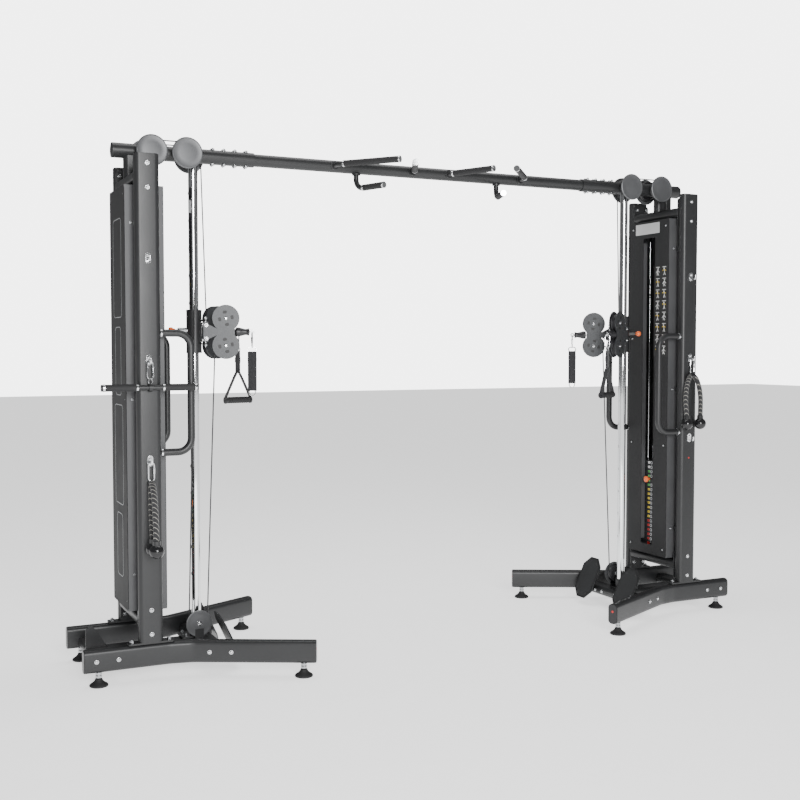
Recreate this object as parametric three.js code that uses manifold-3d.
// Functional trainer: two identical cable towers, turned half a turn to each other, joined by an
// overhead beam. Millimetres, +Z up. X runs along the beam, -Y is the front, and the origin is on
// the floor at the middle. Each tower is built in its own frame, with +X pointing outwards.
import * as THREE from 'three';
import { mergeVertices } from 'three/addons/utils/BufferGeometryUtils.js';
import Module from 'manifold-3d';

const wasm = await Module();
wasm.setup();

// Driving dimensions
const GAP = 0.4; // clearance between pieces that touch
const TUBE = { long: 100, short: 50, corner: 20, wall: 3 }; // flat-sided oval frame tube
const FOOT = { y: 218, bottom: 60, top: 160, outer: 1732, bendStart: 1361, bendEnd: 1264, bendY: 238 };
const PAD = { outerX: 1667, innerX: 834, innerY: 456, pastPad: 55, radius: 40 };
const UPRIGHT = { x: 1446, y: 218, long: 104, short: 52, top: 2247, flange: 8 };
const HOOK_HEIGHTS = [1807, 1376, 948];
const HOOK = { reach: 40, drop: 10 }; // peg length, and how far its top is below the hook's middle
const CROSS_BOTTOM = 62; // underside of the flat crossmembers near the floor
const INNER_CROSS_X = 1155;
const OUTER_CROSS_X = 1633;
const BEAM_Z = 2290;
const BEAM_RADIUS = 28.5;
const ARM = { inner: 903, outer: 1547, radius: 33, bore: 29.3 }; // tower's arm, which holds the beam
const BEAM_END = 1120;
const COLUMN = { x: 1187, radius: 21, bore: 18, bottom: 120.4, top: 2256 };
const HOLE = { first: 400, pitch: 123 }; // the column's row of index holes
const PIN_HOLE_Z = HOLE.first + 9 * HOLE.pitch; // the carriage rests on the tenth hole
const CARRIAGE = { bottom: 1405, top: 1600, radius: 35, bore: COLUMN.radius + 0.8 };
const SWIVEL = { x: 1151, y: 60, radius: 5 }; // the hinge pins of the two pulley heads
const HEAD = { z: 1500, reach: 91, half: 61, lobe: 61, plate: 4, inside: 15 };
const PULLEY = { radius: 55, pitch: 49, floor: 41, width: 22, bore: 5.6 };
const BALL_RADIUS = 31; // of a rope's ends
const HANG_REACH = 117; // where a handle hangs, out from a head's pulley centres
const AXLE_RADIUS = 5;
const ROW_Y = 50; // the two rows of pulleys run either side of the beam
const TOP_PULLEY = { rowA: 1186, rowB: 1228, outer: 1385 };
const COVER = { radius: 69, near: 68, far: 78 };
const BASE_PULLEY = { x: 1192, z: 184, pitch: 42, radius: 48, floor: 34, cover: 60 };
const STACK = { x: 1446, wide: 290, deep: 110, plate: 25, bottom: 300.4, restingPlates: 15, top: 805 };
const ROD = { radius: 10, y: 100 };
const FLOATER = { x: 1435, pitch: 50, disc: 44, z: 880 }; // pulley on top of the weight stack
const CABLE_RADIUS = 3;
const INNER_SHROUD = { x: 1360, halfWidth: 166, depth: 80, bottom: 290, top: 2122 };
const OUTER_SHROUD = { x: 1527, halfWidth: 155, depth: 75, bottom: 290, top: 2122 };
const SLOT = { halfWidth: 52, halfEnd: 62, bottom: 343, top: 2031, endHeight: 24, lip: 28 };
const SHEET = 2.5;
const FLAT_TOLERANCE = 0.02; // needless corners closer to flat than this are merged
const GRIP = { radius: 16, low: 979, high: 1491, reach: 134 };
// Rest angle of each pulley head, in degrees, swung outwards from straight inwards
const HEAD_ANGLE = { left_front: 15, left_rear: 14, right_front: 29, right_rear: 36 };

const PAINT = { color: 0x3a3c3f, roughness: 0.45, metalness: 0.5 };
const PANEL = { color: 0x232426, roughness: 0.6, metalness: 0.2 };
const CHROME = { color: 0xd8dadc, roughness: 0.12, metalness: 1 };
const IRON = { color: 0x1c1d1f, roughness: 0.6, metalness: 0.4 };
const NYLON = { color: 0x18191b, roughness: 0.55, metalness: 0 };
const KNOB = { color: 0xe8642c, roughness: 0.45, metalness: 0 };
const WEBBING = { color: 0x151617, roughness: 0.9, metalness: 0 };

// ---------------------------------------------------------------- solids

function solidOf(geometry) {
  const bare = geometry.clone();
  bare.deleteAttribute('normal');
  bare.deleteAttribute('uv');
  const merged = mergeVertices(bare, 1e-4);
  const vertProperties = new Float32Array(merged.attributes.position.array);
  const triVerts = new Uint32Array(merged.index.array);
  return new wasm.Manifold(new wasm.Mesh({ numProp: 3, vertProperties, triVerts }));
}

function geometryOf(solid) {
  const mesh = solid.simplify(FLAT_TOLERANCE).getMesh();
  const geometry = new THREE.BufferGeometry();
  geometry.setAttribute('position', new THREE.BufferAttribute(new Float32Array(mesh.vertProperties), 3));
  geometry.setIndex(new THREE.BufferAttribute(new Uint32Array(mesh.triVerts), 1));
  return geometry;
}

const join = (first, ...others) => others.reduce((sum, next) => sum.add(next), first);
const cut = (first, ...others) => others.reduce((rest, next) => rest.subtract(next), first);

function box(x, y, z) { // each side is [low, high]
  const geometry = new THREE.BoxGeometry(x[1] - x[0], y[1] - y[0], z[1] - z[0]);
  geometry.translate((x[0] + x[1]) / 2, (y[0] + y[1]) / 2, (z[0] + z[1]) / 2);
  return solidOf(geometry);
}

// A cylinder along the axis 'x', 'y' or 'z' from low to high, centred on the other two coordinates
function rod(axis, radius, low, high, centre, sides = 12) {
  const geometry = new THREE.CylinderGeometry(radius, radius, high - low, sides);
  geometry.translate(0, (low + high) / 2, 0);
  if (axis === 'x') geometry.rotateZ(-Math.PI / 2);
  if (axis === 'z') geometry.rotateX(Math.PI / 2);
  const [a, b] = centre;
  const shift = { x: [0, a, b], y: [a, 0, b], z: [a, b, 0] }[axis];
  geometry.translate(...shift);
  return solidOf(geometry);
}

const tubeRing = (axis, outer, inner, low, high, centre, sides = 18) =>
  cut(rod(axis, outer, low, high, centre, sides), rod(axis, inner, low - 1, high + 1, centre, sides));

// A profile of [radius, height] points turned about Z
function lathe(profile, sides = 12) {
  const points = profile.map(([radius, height]) => new THREE.Vector2(radius, height));
  return solidOf(new THREE.LatheGeometry(points, sides).rotateX(Math.PI / 2));
}

function roundedShape(wide, tall, corner) {
  const x = wide / 2 - corner;
  const y = tall / 2 - corner;
  const shape = new THREE.Shape();
  shape.absarc(x, y, corner, 0, Math.PI / 2);
  shape.absarc(-x, y, corner, Math.PI / 2, Math.PI);
  shape.absarc(-x, -y, corner, Math.PI, 1.5 * Math.PI);
  shape.absarc(x, -y, corner, 1.5 * Math.PI, 2 * Math.PI);
  shape.closePath();
  return shape;
}

function extrude(shape, depth, curveSegments = 1) {
  return solidOf(new THREE.ExtrudeGeometry(shape, { depth, bevelEnabled: false, curveSegments }));
}

function polygon(points) {
  return new THREE.Shape(points.map(([x, y]) => new THREE.Vector2(x, y)));
}

// A shape drawn in the XZ plane, thickened along Y from low to high
const plateXZ = (shape, low, high, segments = 1) =>
  extrude(shape, high - low, segments).rotate([90, 0, 0]).translate([0, high, 0]);

// A shape drawn in the YZ plane, thickened along X from low to high
const plateYZ = (shape, low, high) =>
  extrude(shape, high - low).rotate([90, 0, 0]).rotate([0, 0, 90]).translate([low, 0, 0]);

// A curve through given points that is stepped point by point, so straight runs need no extra rings
class PointPath extends THREE.Curve {
  constructor(points) {
    super();
    this.points = points;
  }
  getPoint(t, target = new THREE.Vector3()) {
    const place = t * (this.points.length - 1);
    const index = Math.min(Math.floor(place), this.points.length - 2);
    return target.lerpVectors(this.points[index], this.points[index + 1], place - index);
  }
  getPointAt(u, target) {
    return this.getPoint(u, target);
  }
  getTangentAt(u, target = new THREE.Vector3()) {
    const last = this.points.length - 1;
    const index = Math.round(u * last);
    const before = this.points[Math.max(index - 1, 0)];
    const after = this.points[Math.min(index + 1, last)];
    return target.subVectors(after, before).normalize();
  }
}

const vec = (x, y, z) => new THREE.Vector3(x, y, z);

// Corner points with each inner corner rounded to the radius
function roundedRoute(corners, radius, steps = 5) {
  const route = [corners[0]];
  for (let i = 1; i < corners.length - 1; i++) {
    const back = corners[i - 1].clone().sub(corners[i]).normalize();
    const ahead = corners[i + 1].clone().sub(corners[i]).normalize();
    const half = back.angleTo(ahead) / 2;
    const reach = radius / Math.tan(half);
    const start = corners[i].clone().addScaledVector(back, reach);
    const centre = corners[i].clone().addScaledVector(back.clone().add(ahead).normalize(), radius / Math.sin(half));
    const end = corners[i].clone().addScaledVector(ahead, reach);
    const from = start.clone().sub(centre);
    const axis = from.clone().cross(end.clone().sub(centre)).normalize();
    for (let k = 0; k <= steps; k++) {
      route.push(centre.clone().add(from.clone().applyAxisAngle(axis, (Math.PI - 2 * half) * k / steps)));
    }
  }
  route.push(corners[corners.length - 1]);
  return route;
}

// A round bar of the radius through the points
function bar(points, radius, sides = 8) {
  const section = new THREE.Shape();
  section.absarc(0, 0, radius, 0, 2 * Math.PI);
  const extrudePath = new PointPath(points);
  const options = { steps: points.length - 1, extrudePath, curveSegments: sides / 2, bevelEnabled: false };
  return solidOf(new THREE.ExtrudeGeometry(section, options));
}

// An upright stretch of frame tube, long side along X, hollow and open at both ends
function uprightTube(x, y, low, high, long, short) {
  const outline = extrude(roundedShape(long, short, TUBE.corner), high - low);
  const hollow = extrude(roundedShape(long - 2 * TUBE.wall, short - 2 * TUBE.wall, TUBE.corner - TUBE.wall),
    high - low + 2).translate([0, 0, -1]);
  return cut(outline, hollow).translate([x, y, low]);
}

// A flat crossmember along Y, long side along X
function crossTube(x, halfLength, bottom) {
  return extrude(roundedShape(TUBE.long, TUBE.short, TUBE.corner), 2 * halfLength)
    .rotate([90, 0, 0]).translate([x, halfLength, bottom + TUBE.short / 2]);
}

// ---------------------------------------------------------------- tower pieces

// Solid of one foot on side s (+1 or -1 along Y); grow swells the section for a clearance cut
function footBar(s, grow = 0) {
  const inwards = vec(PAD.innerX - FOOT.bendEnd, PAD.innerY - FOOT.bendY, 0).normalize();
  const inner = vec(PAD.innerX, PAD.innerY, 0).addScaledVector(inwards, PAD.pastPad);
  const stops = [vec(FOOT.outer, FOOT.y, 0), vec(FOOT.bendStart, FOOT.y, 0),
    vec(FOOT.bendEnd, FOOT.bendY, 0), inner];
  const section = roundedShape(TUBE.short + 2 * grow, TUBE.long + 2 * grow, TUBE.corner);
  const overlap = 4;
  const pieces = stops.slice(1).map((stop, i) => {
    const start = stops[i];
    const run = stop.clone().sub(start);
    const extra = i < 2 ? overlap : 0;
    const turn = THREE.MathUtils.radToDeg(Math.atan2(run.y, run.x));
    return extrude(section, run.length() + extra).rotate([90, 0, 90]).rotate([0, 0, turn])
      .translate([start.x, start.y, 0]);
  });
  const whole = join(...pieces).translate([0, 0, (FOOT.bottom + FOOT.top) / 2]);
  return s > 0 ? whole : whole.mirror([0, 1, 0]);
}

function foot(s) {
  const leveler = [[0, 0], [38, 0], [PAD.radius, 8], [14, 34], [8, 38], [8, FOOT.bottom - 8],
    [14, FOOT.bottom - 8], [14, FOOT.bottom + 2], [0, FOOT.bottom + 2]];
  return join(footBar(s), lathe(leveler).translate([PAD.outerX, s * FOOT.y, 0]),
    lathe(leveler).translate([PAD.innerX, s * PAD.innerY, 0]));
}

// A tilted foot rest with cut corners, on an arm from the inner crossmember
function footPlate(s) {
  const [halfWide, halfTall, corner, thick] = [78, 117, 46, 6];
  const outline = polygon([[-halfWide + corner, -halfTall], [halfWide - corner, -halfTall],
    [halfWide, -halfTall + corner], [halfWide, halfTall - corner], [halfWide - corner, halfTall],
    [-halfWide + corner, halfTall], [-halfWide, halfTall - corner], [-halfWide, -halfTall + corner]]);
  const centre = [1093, s * 175, 145];
  const plate = plateYZ(outline, -thick / 2, thick / 2).rotate([0, 25, 0]).translate(centre);
  const arm = box([1072, 1112], [s * 175 - 20, s * 175 + 20], [70, 106]);
  return join(plate, arm);
}

function baseFrame() {
  const crossTop = CROSS_BOTTOM + TUBE.short;
  const gussetOutline = polygon([[1580, 95], [1683, 95], [1683, 190], [1668, 205], [1652, 205]]);
  const tabOutline = polygon([[1172, 100], [1212, 100], [1212, 160], [1172, 160]]);
  const cover = rod('y', BASE_PULLEY.cover, 68, 73, [BASE_PULLEY.x, BASE_PULLEY.z], 18);
  const axle = rod('y', AXLE_RADIUS, 38, 80, [BASE_PULLEY.x, BASE_PULLEY.z], 8);
  const whole = join(crossTube(INNER_CROSS_X, 285, CROSS_BOTTOM),
    crossTube(OUTER_CROSS_X, FOOT.y - TUBE.short / 2 - GAP, CROSS_BOTTOM),
    box([INNER_CROSS_X, OUTER_CROSS_X], [-50, 50], [66, 108]),
    box([COLUMN.x - 45, COLUMN.x + 75], [-62, 34], [crossTop - 2, crossTop + 8]),
    tubeRing('z', 30, COLUMN.radius + 0.8, crossTop + 6, crossTop + 50, [COLUMN.x, 0]),
    plateXZ(gussetOutline, -4, 4), plateXZ(tabOutline, 68, 73), cover, axle,
    footPlate(1), footPlate(-1));
  return cut(whole, footBar(1, GAP), footBar(-1, GAP));
}

// A steel hook on the outer face of an upright, with its tip turned up
function hook(s, z) {
  const face = UPRIGHT.y + UPRIGHT.short / 2;
  const across = (half) => [UPRIGHT.x - half, UPRIGHT.x + half];
  const plate = box(across(13), [face - 1, face + 5], [z - 30, z + 30]);
  const peg = box(across(4), [face + 4, face + HOOK.reach], [z - HOOK.drop - 8, z - HOOK.drop]);
  const tip = box(across(4), [face + HOOK.reach - 6, face + HOOK.reach], [z - HOOK.drop - 8, z + 8]);
  const whole = join(plate, peg, tip);
  return s > 0 ? whole : whole.mirror([0, 1, 0]);
}

// The bent side handle bolted to the upright's inward face
function sideGrip(s) {
  const face = UPRIGHT.x - UPRIGHT.long / 2;
  const corners = [vec(face + 1, s * UPRIGHT.y, GRIP.high), vec(face - GRIP.reach, s * UPRIGHT.y, GRIP.high),
    vec(face - GRIP.reach, s * UPRIGHT.y, GRIP.low), vec(face + 1, s * UPRIGHT.y, GRIP.low)];
  return bar(roundedRoute(corners, 60, 4), GRIP.radius, 8);
}

function upright(s) {
  const bottom = FOOT.top + GAP;
  const flange = extrude(roundedShape(200, 48, 12), UPRIGHT.flange).translate([UPRIGHT.x, s * UPRIGHT.y, bottom]);
  const tube = uprightTube(UPRIGHT.x, s * UPRIGHT.y, bottom + UPRIGHT.flange - 1, UPRIGHT.top,
    UPRIGHT.long, UPRIGHT.short);
  return join(flange, tube, sideGrip(s), ...HOOK_HEIGHTS.map((z) => hook(s, z)));
}

// Flanged crossmember between the two uprights
function uprightCross(bottom) {
  const reach = UPRIGHT.y - UPRIGHT.short / 2 - GAP;
  const flange = (s) => plateXZ(roundedShape(96, 150, 14), Math.min(s * reach, s * (reach - 7)),
    Math.max(s * reach, s * (reach - 7))).translate([UPRIGHT.x, 0, bottom + TUBE.short / 2]);
  return join(crossTube(UPRIGHT.x, reach - 1, bottom), flange(1), flange(-1));
}

const restingTop = STACK.bottom + STACK.restingPlates * STACK.plate + 15;

// Lower crossmember, guide rods and the plates that stay down
function weightBase() {
  const half = STACK.deep / 2;
  const plates = box([STACK.x - half, STACK.x + half], [-STACK.wide / 2, STACK.wide / 2],
    [STACK.bottom, restingTop]);
  const stemHole = rod('z', 14, STACK.bottom + 5, restingTop + 1, [STACK.x, 0], 12);
  const guide = (y) => rod('z', ROD.radius, 270, 2128.6, [STACK.x, y], 10);
  const bumper = (y) => rod('z', 24, 278, STACK.bottom + 1, [STACK.x, y], 12);
  return join(cut(plates, stemHole), uprightCross(230), guide(ROD.y), guide(-ROD.y),
    bumper(ROD.y), bumper(-ROD.y));
}

// The plates that the selector picks, with their stem and the floating pulley's bracket
function liftingPlates() {
  const half = STACK.deep / 2;
  const low = restingTop + GAP;
  const block = box([STACK.x - half, STACK.x + half], [-STACK.wide / 2, STACK.wide / 2], [low, STACK.top]);
  const holes = [ROD.y, -ROD.y].map((y) => rod('z', ROD.radius + 1.2, low - 1, STACK.top + 1, [STACK.x, y], 10));
  const stem = rod('z', 12, STACK.bottom + 8, low + 5, [STACK.x, 0], 12);
  const cheek = (x) => box([x, x + 5], [-22, 22], [STACK.top - 2, FLOATER.z + 18]);
  const axle = rod('x', AXLE_RADIUS, FLOATER.x - 20, FLOATER.x + 20, [0, FLOATER.z], 8);
  const disc = rod('x', FLOATER.disc, FLOATER.x - 8, FLOATER.x + 8, [0, FLOATER.z], 16);
  const bridge = box([FLOATER.x - 22, FLOATER.x + 22], [-22, 22], [STACK.top - 2, STACK.top + 6]);
  const pinHole = rod('x', 5.8, STACK.x - half - 5, STACK.x + 8, [0, low + 12.5], 12);
  return cut(join(cut(block, ...holes), stem, cheek(FLOATER.x - 22), cheek(FLOATER.x + 17),
    axle, disc, bridge), pinHole);
}

function selectorPin() {
  const z = restingTop + GAP + 12.5;
  const front = STACK.x - STACK.deep / 2;
  const shaft = rod('x', 4.6, front - 26, STACK.x + 4, [0, z], 10);
  const knob = lathe([[0, 0], [15, 0], [17, 3], [17, 10], [9, 16], [8, 26], [0, 26]], 10)
    .rotate([0, 90, 0]).translate([front - 42, 0, z]);
  return join(knob, shaft);
}

// A grooved pulley about Y, centred on the origin
function pulley(size = PULLEY) {
  const half = PULLEY.width / 2;
  const profile = [[PULLEY.bore, -half], [size.radius, -half], [size.floor, 0], [size.radius, half],
    [PULLEY.bore, half], [PULLEY.bore, -half]];
  return lathe(profile).rotate([90, 0, 0]);
}

// The two outer pulleys on one sleeve, which clears the arm between them through its slot
function outerPulleys() {
  return [1, -1].map((s) => pulley().translate([TOP_PULLEY.outer, s * ROW_Y, BEAM_Z]));
}

// Top crossmember, post and arm, with the pulley axles and their covers
function topFrame() {
  const arm = tubeRing('x', ARM.radius, ARM.bore, ARM.inner, ARM.outer, [0, BEAM_Z]);
  const plug = rod('x', ARM.bore + 1, BEAM_END + 60, ARM.outer - 2, [0, BEAM_Z], 18);
  const post = extrude(roundedShape(TUBE.long, TUBE.short, TUBE.corner), BEAM_Z - 2170)
    .translate([UPRIGHT.x, 0, 2170]);
  const mounted = [[TOP_PULLEY.rowA, -1], [TOP_PULLEY.rowB, 1], [TOP_PULLEY.outer, 1], [TOP_PULLEY.outer, -1]];
  const axles = mounted.flatMap(([x, s]) => {
    const [low, high] = s > 0 ? [0, COVER.far] : [-COVER.far, 0];
    const [near, far] = s > 0 ? [COVER.near, COVER.far] : [-COVER.far, -COVER.near];
    return [rod('y', AXLE_RADIUS, low, high, [x, BEAM_Z], 8), rod('y', COVER.radius, near, far, [x, BEAM_Z], 18)];
  });
  const cableHoles = [1, -1].map((s) => rod('z', 9, 2120, 2190, [FLOATER.x - 1, s * ROW_Y], 8));
  return cut(join(uprightCross(2129), post, arm, plug, ...axles), ...cableHoles);
}

const column = () =>
  tubeRing('z', COLUMN.radius, COLUMN.bore, COLUMN.bottom, COLUMN.top, [COLUMN.x, 0]);

// A folded sheet cover: face at x, sides folded towards `inwards` (+1 or -1 along X)
function cover(size, inwards, face) {
  const { x, halfWidth, depth, bottom, top } = size;
  const side = (s) => {
    const outline = roundedShape(depth, top - bottom, 18);
    const square = box([Math.min(x, x + inwards * 30), Math.max(x, x + inwards * 30)],
      s > 0 ? [halfWidth - SHEET, halfWidth] : [-halfWidth, -halfWidth + SHEET], [bottom, top]);
    const flap = plateXZ(outline, s > 0 ? halfWidth - SHEET : -halfWidth, s > 0 ? halfWidth : -halfWidth + SHEET)
      .translate([x + inwards * depth / 2, 0, (top + bottom) / 2]);
    return join(flap, square);
  };
  const reach = UPRIGHT.y - UPRIGHT.short / 2 - GAP;
  const tabs = [1, -1].flatMap((s) => [bottom + 160, (bottom + top) / 2, top - 160].map((z) =>
    box([x + inwards * (depth - 32), x + inwards * (depth - 12)].sort((a, b) => a - b),
      s > 0 ? [halfWidth - 1, reach] : [-reach, -halfWidth + 1], [z - 12, z + 12])));
  return join(face, side(1), side(-1), ...tabs);
}

function innerShroud() {
  const { x, halfWidth, bottom, top } = INNER_SHROUD;
  const sheet = box([x, x + SHEET], [-halfWidth, halfWidth], [bottom, top]);
  const slot = box([x - 1, x + SHEET + 1], [-SLOT.halfWidth, SLOT.halfWidth], [SLOT.bottom, SLOT.top]);
  const ends = [[SLOT.bottom, SLOT.bottom + SLOT.endHeight], [SLOT.top - SLOT.endHeight, SLOT.top]]
    .map((z) => box([x - 1, x + SHEET + 1], [-SLOT.halfEnd, SLOT.halfEnd], z));
  const lip = (s) => box([x, x + SLOT.lip],
    s > 0 ? [SLOT.halfWidth, SLOT.halfWidth + SHEET] : [-SLOT.halfWidth - SHEET, -SLOT.halfWidth],
    [SLOT.bottom + SLOT.endHeight, SLOT.top - SLOT.endHeight]);
  return cover(INNER_SHROUD, 1, join(cut(sheet, slot, ...ends), lip(1), lip(-1)));
}

function outerShroud() {
  const { x, halfWidth, bottom, top } = OUTER_SHROUD;
  return cover(OUTER_SHROUD, -1, box([x - SHEET, x], [-halfWidth, halfWidth], [bottom, top]));
}

function carriage() {
  const { bottom, top, radius, bore } = CARRIAGE;
  const bracketOutline = polygon([[COLUMN.x - 6, -32], [SWIVEL.x + 6, -SWIVEL.y - 12],
    [SWIVEL.x - 12, -SWIVEL.y - 6], [SWIVEL.x - 12, SWIVEL.y + 6], [SWIVEL.x + 6, SWIVEL.y + 12], [COLUMN.x - 6, 32]]);
  const bracket = (z) => extrude(bracketOutline, 6).translate([0, 0, z]);
  const pins = [1, -1].map((s) => rod('z', SWIVEL.radius, 1440, 1560, [SWIVEL.x, s * SWIVEL.y], 10));
  const housing = rod('x', 12, COLUMN.x + 30, COLUMN.x + 74, [0, PIN_HOLE_Z]);
  const pinBore = rod('x', 6.4, COLUMN.x + 20, COLUMN.x + 80, [0, PIN_HOLE_Z], 10);
  const whole = join(rod('z', radius, bottom, top, [COLUMN.x, 0], 18), bracket(1550), bracket(1444), ...pins, housing);
  return cut(whole, rod('z', bore, bottom - 1, top + 1, [COLUMN.x, 0], 18), pinBore);
}

// The pin ends against the column, so that the carriage is free to slide
function popPin() {
  const tip = COLUMN.x + COLUMN.radius + GAP;
  const knob = lathe([[0, 0], [8, 0], [9, 6], [11, 10], [14, 14], [14, 22], [10, 27], [0, 27]], 10)
    .rotate([0, 90, 0]).translate([COLUMN.x + 88, 0, PIN_HOLE_Z]);
  return join(knob, rod('x', 4.8, tip, COLUMN.x + 90, [0, PIN_HOLE_Z], 10));
}

// Pulley head about its hinge pin: +X points out along the head, heights are about its middle
function headBody() {
  const lobe = (z) => {
    const shape = new THREE.Shape();
    shape.absarc(HEAD.reach, z, HEAD.lobe, 0, 2 * Math.PI);
    return shape;
  };
  const plate = (low) => join(plateXZ(lobe(HEAD.half), low, low + HEAD.plate, 8),
    plateXZ(lobe(-HEAD.half), low, low + HEAD.plate, 8),
    box([-8, HEAD.reach + 30], [low, low + HEAD.plate], [-47, 47]));
  const outside = HEAD.inside + HEAD.plate;
  const hinge = cut(box([-10, 13], [-outside + 1, outside - 1], [-44, 44]), rod('z', 5.8, -50, 50, [0, 0], 10));
  const axle = (z) => rod('y', AXLE_RADIUS, -outside - 4, outside + 4, [HEAD.reach, z], 8);
  return join(plate(HEAD.inside), plate(-outside), hinge, axle(HEAD.half), axle(-HEAD.half));
}

// A closed oval ring in the XZ plane with its top inside edge at the origin
function ovalRing(wide, tall, wire) {
  const corner = Math.min(wide, tall) / 2 - 0.1;
  const outline = roundedShape(wide, tall, corner);
  const gap = roundedShape(wide - 2 * wire, tall - 2 * wire, corner - wire);
  const ring = cut(plateXZ(outline, -wire / 2, wire / 2), plateXZ(gap, -wire, wire));
  return ring.translate([0, 0, wire - tall / 2]);
}

// A snap hook seen edge-on from the side of the head
const snapHook = () => ovalRing(30, 74, 6).rotate([0, 0, 90]);

// Stirrup handle hanging below its snap hook; the hook's top is at the origin
function stirrup() {
  const strap = (s) => bar([vec(s * 4, 0, -178), vec(s * 62, 0, -300)], 8, 8);
  const stem = box([-11, 11], [-8, 8], [-190, -86]);
  const grip = rod('x', 14.5, -67, 67, [0, -313], 12);
  return join(snapHook(), ovalRing(28, 30, 5).translate([0, 0, -66]), stem, strap(1), strap(-1), grip);
}

// Folded ankle strap hanging below its snap hook
function ankleStrap() {
  const band = box([-20, 20], [-8, 8], [-262, -86]);
  return join(snapHook(), ovalRing(44, 30, 5).translate([0, 0, -66]), band,
    ovalRing(34, 34, 5).translate([0, 0, -258]));
}

// ---------------------------------------------------------------- cable

// Arc points about `centre` from angle a to b in degrees, along unit vectors u and v
function arc(centre, u, v, radius, a, b, steps) {
  return Array.from({ length: steps + 1 }, (_, i) => {
    const angle = THREE.MathUtils.degToRad(a + (b - a) * i / steps);
    return centre.clone().addScaledVector(u, radius * Math.cos(angle)).addScaledVector(v, radius * Math.sin(angle));
  });
}

const headDirection = (s, angle) => {
  const turn = THREE.MathUtils.degToRad(angle);
  return vec(-Math.cos(turn), s * Math.sin(turn), 0);
};

// Route inside one head: from the stop beyond its pulleys, between them and round one, up or down
function headRoute(s, angle, up) {
  const along = headDirection(s, angle);
  const pin = vec(SWIVEL.x, s * SWIVEL.y, HEAD.z);
  const centre = pin.clone().addScaledVector(along, HEAD.reach).add(vec(0, 0, up * HEAD.half));
  const stop = pin.clone().addScaledVector(along, HEAD.reach + 60);
  const wrap = arc(centre, vec(0, 0, -up), along.clone().negate(), PULLEY.pitch, 0, 90, 3);
  return [stop, ...wrap];
}

function cable(angles) {
  const [west, up, out] = [vec(-1, 0, 0), vec(0, 0, 1), vec(1, 0, 0)];
  const rowA = (x) => vec(x, -ROW_Y, BEAM_Z);
  const rowB = (x) => vec(x, ROW_Y, BEAM_Z);
  const sheave = vec(FLOATER.x, 0, FLOATER.z);
  const base = vec(BASE_PULLEY.x, ROW_Y, BASE_PULLEY.z);
  const route = [
    ...headRoute(-1, angles.a, 1),
    ...arc(rowA(TOP_PULLEY.rowA), west, up, PULLEY.pitch, 0, 90, 3),
    ...arc(rowA(TOP_PULLEY.outer), up, out, PULLEY.pitch, 0, 90, 3),
    ...arc(sheave, vec(0, -1, 0), vec(0, 0, -1), FLOATER.pitch, 0, 180, 6),
    ...arc(rowB(TOP_PULLEY.outer), out, up, PULLEY.pitch, 0, 90, 3),
    ...arc(rowB(TOP_PULLEY.rowB), up, west, PULLEY.pitch, 0, 90, 3),
    ...arc(base, out, vec(0, 0, -1), BASE_PULLEY.pitch, 0, 180, 6),
    ...headRoute(1, angles.b, -1).reverse(),
  ];
  const stopper = (s, angle) => {
    const along = headDirection(s, angle);
    const start = vec(SWIVEL.x, s * SWIVEL.y, HEAD.z).addScaledVector(along, HEAD.reach + 42);
    const cone = lathe([[0, 0], [16, 0], [21, 10], [14, 48], [16, 63], [0, 63]], 10);
    const turn = THREE.MathUtils.radToDeg(Math.atan2(along.y, along.x));
    return cone.rotate([0, 90, 0]).rotate([0, 0, turn]).translate([start.x, start.y, start.z]);
  };
  return join(bar(route, CABLE_RADIUS, 6), stopper(-1, angles.a), stopper(1, angles.b));
}

// ---------------------------------------------------------------- beam and loose accessories

function centreBeam() {
  const tube = tubeRing('x', BEAM_RADIUS, BEAM_RADIUS - 3, -BEAM_END, BEAM_END, [0, BEAM_Z]);
  const grips = [1, -1].flatMap((s) => [
    [[vec(s * 512, -24, BEAM_Z), vec(s * 512, -80, BEAM_Z), vec(s * 309, -330, BEAM_Z)], 60],
    [[vec(s * 100, -24, BEAM_Z), vec(s * 100, -50, BEAM_Z), vec(s * 210, -286, BEAM_Z)], 40],
    [[vec(s * 388, 0, BEAM_Z - 25), vec(s * 388, 0, BEAM_Z - 98), vec(s * 324, -183, BEAM_Z - 98)], 45],
  ]).map(([corners, radius]) => bar(roundedRoute(corners, radius, 3), 15));
  return join(tube, ...grips);
}

// Straight bar on its snap hook, hung from a left hook
function hangingBar() {
  const handle = rod('x', 15, -205, 205, [0, -108]);
  const collar = rod('x', 18, -8, 8, [0, -108]);
  return join(handle, collar, ovalRing(30, 80, 6), ovalRing(20, 30, 5).translate([0, 0, -72]));
}

// Two-ended rope with ball ends below its snap hook. Its legs are `spread` apart, and the plane they
// hang in is turned by `turn` degrees and leans out by `lean` at the foot.
function doubleRope(spread, drop, turn, lean) {
  const angle = THREE.MathUtils.degToRad(turn);
  const spot = (across, down) =>
    vec(across * Math.cos(angle), across * Math.sin(angle) - lean * down / drop, -down);
  const leg = (s) => [spot(s * spread * 0.8, drop), spot(s * spread * 0.9, drop * 0.6), spot(s * spread * 0.55, 115)];
  const curve = new THREE.CatmullRomCurve3([...leg(-1), vec(0, 0, -86), ...leg(1).reverse()]);
  const rope = bar(curve.getPoints(14), 13);
  const ball = (s) => {
    const end = spot(s * spread * 0.8, drop + 14);
    return solidOf(new THREE.SphereGeometry(BALL_RADIUS, 10, 6)).translate([end.x, end.y, end.z]);
  };
  return join(rope, ball(1), ball(-1), ovalRing(30, 84, 6));
}

// ---------------------------------------------------------------- assembly

const model = new THREE.Group();

function place(parent, name, solid, look) {
  const mesh = new THREE.Mesh(geometryOf(solid), new THREE.MeshStandardMaterial(look));
  mesh.name = name;
  parent.add(mesh);
  return mesh;
}

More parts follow.
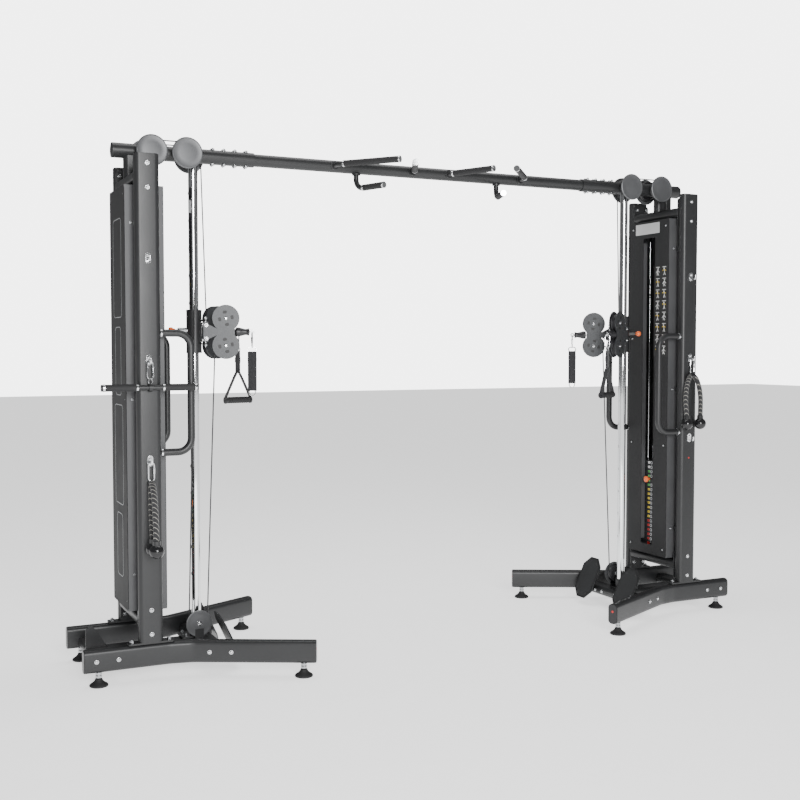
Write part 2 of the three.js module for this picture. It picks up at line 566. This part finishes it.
function buildTower(name, turn) {
  const tower = new THREE.Group();
  tower.rotation.z = turn;
  model.add(tower);
  const flip = Math.cos(turn) < 0;
  const face = (s) => ((s < 0) !== flip ? 'front' : 'rear'); // side s of the tower as seen by the user
  const angleOf = (s) => HEAD_ANGLE[`${name}_${face(s)}`];
  const add = (piece, solid, look) => place(tower, `${name}_${piece}`, solid, look);

  add('base_frame', baseFrame(), PAINT);
  add('weight_base', weightBase(), IRON);
  add('lifting_plates', liftingPlates(), IRON);
  add('selector_pin', selectorPin(), KNOB);
  add('top_frame', topFrame(), PAINT);
  add('column', column(), CHROME);
  add('outer_shroud', outerShroud(), PANEL);
  add('inner_shroud', innerShroud(), PANEL);
  add('carriage', carriage(), PAINT);
  add('pop_pin', popPin(), KNOB);
  add('cable', cable({ a: angleOf(-1), b: angleOf(1) }), NYLON);
  add('base_pulley', pulley(BASE_PULLEY).translate([BASE_PULLEY.x, ROW_Y, BASE_PULLEY.z]), NYLON);
  add('inner_pulley_down', pulley().translate([TOP_PULLEY.rowA, -ROW_Y, BEAM_Z]), NYLON);
  add('inner_pulley_return', pulley().translate([TOP_PULLEY.rowB, ROW_Y, BEAM_Z]), NYLON);
  outerPulleys().forEach((solid, i) => add(['outer_pulley_return', 'outer_pulley_down'][i], solid, NYLON));

  for (const s of [-1, 1]) {
    add(`${face(s)}_foot`, foot(s), PAINT);
    add(`${face(s)}_upright`, upright(s), PAINT);
    const head = new THREE.Group();
    const along = headDirection(s, angleOf(s));
    head.position.set(SWIVEL.x, s * SWIVEL.y, HEAD.z);
    head.rotation.z = Math.atan2(along.y, along.x);
    tower.add(head);
    place(head, `${name}_${face(s)}_head`, headBody(), PAINT);
    for (const [level, side] of [['upper', 1], ['lower', -1]]) {
      const wheel = place(head, `${name}_${face(s)}_${level}_pulley`, pulley(), NYLON);
      wheel.position.set(HEAD.reach, 0, side * HEAD.half);
    }
    const [title, hanging] = s < 0 ? ['stirrup_handle', stirrup()] : ['ankle_strap', ankleStrap()];
    place(head, `${name}_${title}`, hanging, WEBBING).position.set(HEAD.reach + HANG_REACH, 0, -4);
  }
}

buildTower('right', 0);
buildTower('left', Math.PI);
place(model, 'center_beam', centreBeam(), PAINT);

// Loose accessories hang from pegs on the front uprights, clear of the upright's face
function hang(name, solid, side, hookHeight, look) {
  const y = -UPRIGHT.y - UPRIGHT.short / 2 - HOOK.reach / 2;
  place(model, name, solid, look).position.set(side * UPRIGHT.x, y, hookHeight - HOOK.drop + 2.5);
}

hang('hanging_bar', hangingBar(), -1, HOOK_HEIGHTS[1], NYLON);
hang('left_rope', doubleRope(40, 350, 90, 52), -1, HOOK_HEIGHTS[2], WEBBING);
hang('right_rope', doubleRope(55, 330, 0, 16), 1, HOOK_HEIGHTS[1], WEBBING);

export default model;
